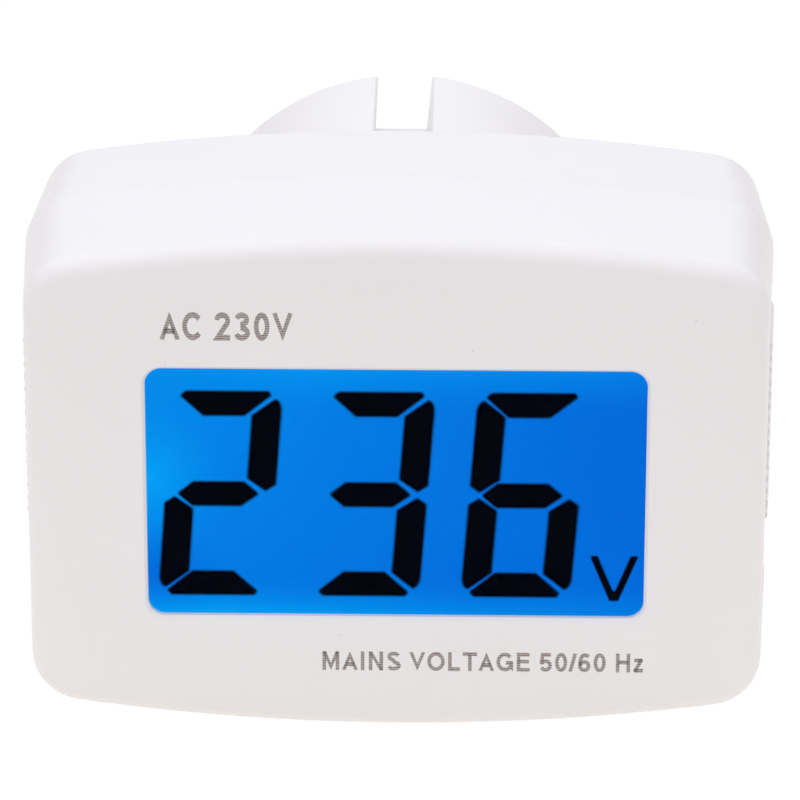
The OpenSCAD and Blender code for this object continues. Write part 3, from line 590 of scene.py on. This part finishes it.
def alphabet():
    """Plain sans-serif letters of height 1: {letter: (space beside it, width, centre lines of its strokes)}."""
    p, top = PEN / 2, 1 - PEN / 2
    return {
        "A": (0.01, 0.88, [[(p * 0.9, 0), (0.44, 0.86), (0.88 - p * 0.9, 0)], [(0.2, 0.32), (0.68, 0.32)]]),
        "C": (0.05, 0.88, [arc(0.46, 0.5, 0.46 - p, 0.5 - p, 40, 320)]),
        "E": (0.09, 0.72, [[(0.72, top), (p, top), (p, p), (0.74, p)], [(p, 0.53), (0.68, 0.53)]]),
        "G": (0.05, 0.94, [arc(0.48, 0.5, 0.48 - p, 0.5 - p, 40, 322)
                           + [(0.94 - p, 0.2), (0.94 - p, 0.45), (0.54, 0.45)]]),
        "H": (0.09, 0.8, [[(p, 0), (p, 1)], [(0.8 - p, 0), (0.8 - p, 1)], [(p, 0.53), (0.8 - p, 0.53)]]),
        "I": (0.1, PEN, [[(p, 0), (p, 1)]]),
        "L": (0.08, 0.66, [[(p, 1), (p, p), (0.66, p)]]),
        "M": (0.09, 0.94, [[(p, 0), (p, 1)], [(p * 1.1, 1), (0.47, 0.12), (0.94 - p * 1.1, 1)],
                           [(0.94 - p, 0), (0.94 - p, 1)]]),
        "N": (0.09, 0.8, [[(p, 0), (p, 1)], [(p, 1), (0.8 - p, 0)], [(0.8 - p, 0), (0.8 - p, 1)]]),
        "O": (0.05, 0.98, [arc(0.49, 0.5, 0.49 - p, 0.5 - p, 0, 360, 28)]),
        "S": (0.05, 0.8, [arc(0.4, 0.735, 0.36 - p, 0.265 - p, 18, 255)
                          + arc(0.4, 0.265, 0.4 - p, 0.265 - p, 75, -160)]),
        "T": (0.02, 0.8, [[(0, top), (0.8, top)], [(0.4, top), (0.4, 0)]]),
        "V": (0.01, 0.88, [[(p * 0.9, 1), (0.44, 0.14), (0.88 - p * 0.9, 1)]]),
        "z": (0.04, 0.55, [[(0.03, 0.74 - p), (0.5, 0.74 - p)], [(0.46, 0.7), (0.07, 0.04)], [(0.02, p), (0.53, p)]]),
        "/": (0.01, 0.36, [[(0.04, 0), (0.32, 1)]]),
        "0": (0.06, 0.68, [arc(0.34, 0.5, 0.34 - p, 0.5 - p, 0, 360, 28)]),
        "2": (0.06, 0.68, [arc(0.34, 0.7, 0.34 - p, 0.3 - p, 175, -35) + [(p + 0.03, p), (0.68, p)]]),
        "3": (0.06, 0.68, [arc(0.33, 0.74, 0.32 - p, 0.26 - p, 165, -80)
                           + arc(0.33, 0.27, 0.35 - p, 0.27 - p, 80, -165)]),
        "5": (0.06, 0.68, [[(0.62, top), (0.16, top), (0.1, 0.5)]
                           + arc(0.33, 0.33, 0.35 - p, 0.33 - p, 138, -155)]),
        "6": (0.06, 0.68, [arc(0.34, 0.32, 0.34 - p, 0.32 - p, 0, 360, 24),
                           arc(0.38, 0.5, 0.38 - p, 0.5 - p, 205, 48)]),
        " ": (0.0, 0.3, [])}


def ribbon(bm, line, width, to_face):
    """A flat stroke of even width along a line. Corners are mitred, and nothing passes the cap height or baseline."""
    closed = math.dist(line[0], line[-1]) < 1e-6
    sides = []
    for i, (x, y) in enumerate(line):
        before = line[i - 1] if i else (line[-2] if closed else None)
        after = line[i + 1] if i < len(line) - 1 else (line[1] if closed else None)
        ways = [Vector((x - before[0], y - before[1])).normalized()] if before else []
        if after:
            ways.append(Vector((after[0] - x, after[1] - y)).normalized())
        mean = sum(ways, Vector((0, 0))).normalized()
        across = Vector((-mean.y, mean.x))
        reach = width / 2 / max(0.3, abs(across.dot(Vector((-ways[0].y, ways[0].x)))))
        sides.append([bm.verts.new(to_face(x + k * reach * across.x, min(1.0, max(0.0, y + k * reach * across.y))))
                      for k in (-1, 1)])
    for a, b in zip(sides, sides[1:]):
        bm.faces.new((a[0], b[0], b[1], a[1]))


def printed_mark(name, words, left_mm, right_mm, base_mm, cap_mm, material):
    """A generic marking on the front face, as a film just off the plastic."""
    letters = alphabet()
    spans, x = [], 0.0
    for letter in words:
        beside, width, _ = letters[letter]
        spans.append(x + beside)
        x += width + 2 * beside + BETWEEN_LETTERS
    margins = BETWEEN_LETTERS + letters[words[0]][0] + letters[words[-1]][0]
    scale = (right_mm - left_mm) / (x - margins)
    start = left_mm - letters[words[0]][0] * scale
    front = cad_low.y - OFF_FACE * MM
    bm = bmesh.new()
    for letter, at in zip(words, spans):
        for line in letters[letter][2]:
            ribbon(bm, line, PEN, lambda u, v: ((start + (at + u) * scale) * MM, front, (base_mm + v * cap_mm) * MM))
    for face in bm.faces:
        if face.normal.y > 0:
            face.normal_flip()
    mesh_piece(name, bm, material)


ink = print_ink()
printed_mark("mark_rating", "AC 230V", -18.92, -8.26, 13.12, 2.44, ink)
printed_mark("mark_use", "MAINS VOLTAGE 50/60 Hz", -6.0, 20.3, -16.06, 1.72, ink)


# ---------------------------------------------------------------- camera, light and floor

CAMERA_DISTANCE = 0.439
CAMERA_TURN, CAMERA_TILT, CAMERA_ROLL = math.radians(0.94), math.radians(23), math.radians(0.07)
LENS_MM, SENSOR_MM = 245.9, 36
FLOOR_GAP, FLOOR_HALF = 0.2 * MM, 1.6


def aim_camera():
    turn, tilt, roll = CAMERA_TURN, CAMERA_TILT, CAMERA_ROLL
    forward = Vector((-math.sin(turn) * math.cos(tilt), math.cos(turn) * math.cos(tilt), -math.sin(tilt)))
    side = forward.cross(Vector((0, 0, 1))).normalized()
    up = side.cross(forward)
    right = math.cos(roll) * side + math.sin(roll) * up
    upward = -math.sin(roll) * side + math.cos(roll) * up
    target = Vector((0.33 * MM, cad_low.y, 8.06 * MM))
    camera_data = bpy.data.cameras.new("camera")
    camera_data.sensor_width = SENSOR_MM
    camera_data.lens = LENS_MM
    camera_data.clip_start = 0.01
    camera_data.clip_end = 20
    camera = bpy.data.objects.new("camera", camera_data)
    bpy.context.scene.collection.objects.link(camera)
    spin = Matrix((right, upward, -forward)).transposed().to_4x4()
    camera.matrix_world = Matrix.Translation(target - forward * CAMERA_DISTANCE) @ spin
    bpy.context.scene.camera = camera


def area_light(name, at, toward, size, power, colour):
    data = bpy.data.lights.new(name, "AREA")
    data.shape = "RECTANGLE"
    data.size, data.size_y = size
    data.energy = power
    data.color = colour
    lamp = bpy.data.objects.new(name, data)
    bpy.context.scene.collection.objects.link(lamp)
    lamp.location = at
    lamp.rotation_euler = (Vector(toward) - Vector(at)).to_track_quat("-Z", "Y").to_euler()


def light_room():
    """Soft white all round, warmer and dimmer near the floor. The camera sees plain white instead."""
    world = bpy.data.worlds.new("studio")
    bpy.context.scene.world = world
    world.use_nodes = True
    tree = world.node_tree
    tree.nodes.clear()
    seen = add(tree, "ShaderNodeBackground", {"Color": (1, 1, 1, 1), "Strength": 1.1})
    height = axes(tree, add(tree, "ShaderNodeTexCoord").outputs["Generated"])["Z"]
    tone = colours(tree, remap(tree, height, 0.02, 0.42, 0, 1), (0.23, 0.2, 0.15), (1.06, 1.068, 1.152))
    light = add(tree, "ShaderNodeBackground", {"Color": tone, "Strength": 1.0})
    camera_sees = add(tree, "ShaderNodeLightPath").outputs["Is Camera Ray"]
    mixed = blend(tree, camera_sees, light.outputs[0], seen.outputs[0])
    add(tree, "ShaderNodeOutputWorld", {"Surface": mixed})


def floor_paper(level):
    """Pale paper with a dim matte bounce and a painted warm fill glow, strongest near the object, that lifts the
    shade under it. It lets a view from below through to the object.
    """
    material, nodes = empty_material("floor_paper")
    where = place(nodes)
    matte = add(nodes, "ShaderNodeBsdfDiffuse", {
        "Color": colours(nodes, noise(nodes, where, 60), (0.44, 0.435, 0.43), (0.46, 0.455, 0.45)),
        "Roughness": 0.8})
    # Painted light: a warm glow sent back up to the object, brighter within a few centimetres of it, to cancel the
    # shade it casts on the floor.
    away = add(nodes, "ShaderNodeVectorMath", {0: where, 1: (0, -0.03, level)}, operation="DISTANCE").outputs["Value"]
    painted_fill_glow = add(nodes, "ShaderNodeEmission", {
        "Color": (1.0, 0.96, 0.90, 1), "Strength": remap(nodes, away, 0.06, 0.2, 0.7, 0.48)})
    bounce = add(nodes, "ShaderNodeAddShader", {0: matte.outputs[0], 1: painted_fill_glow.outputs[0]})
    glow = add(nodes, "ShaderNodeEmission", {"Color": (1, 1, 1, 1), "Strength": 1.07})
    bright = blend(nodes, 0.92, matte.outputs[0], glow.outputs[0])
    camera_sees = add(nodes, "ShaderNodeLightPath").outputs["Is Camera Ray"]
    upper = blend(nodes, camera_sees, bounce.outputs[0], bright)
    below = add(nodes, "ShaderNodeNewGeometry").outputs["Backfacing"]
    surface(nodes, blend(nodes, below, upper, add(nodes, "ShaderNodeBsdfTransparent").outputs[0]))
    return material


def lay_floor():
    level = cad_low.z - FLOOR_GAP
    bm = bmesh.new()
    bm.faces.new([bm.verts.new((x * FLOOR_HALF, y * FLOOR_HALF, level))
                  for x, y in ((-1, -1), (1, -1), (1, 1), (-1, 1))])
    mesh = bpy.data.meshes.new("floor")
    bm.to_mesh(mesh)
    bm.free()
    mesh.materials.append(floor_paper(level))
    floor = bpy.data.objects.new("floor", mesh)
    bpy.context.scene.collection.objects.link(floor)


aim_camera()
bpy.context.scene.view_settings.view_transform = "Standard"
light_room()
area_light("top_softbox", (-0.1, -0.13, 0.53), (0, -0.02, 0), (0.6, 0.4), 0.55, (0.98, 0.985, 1.0))
lay_floor()
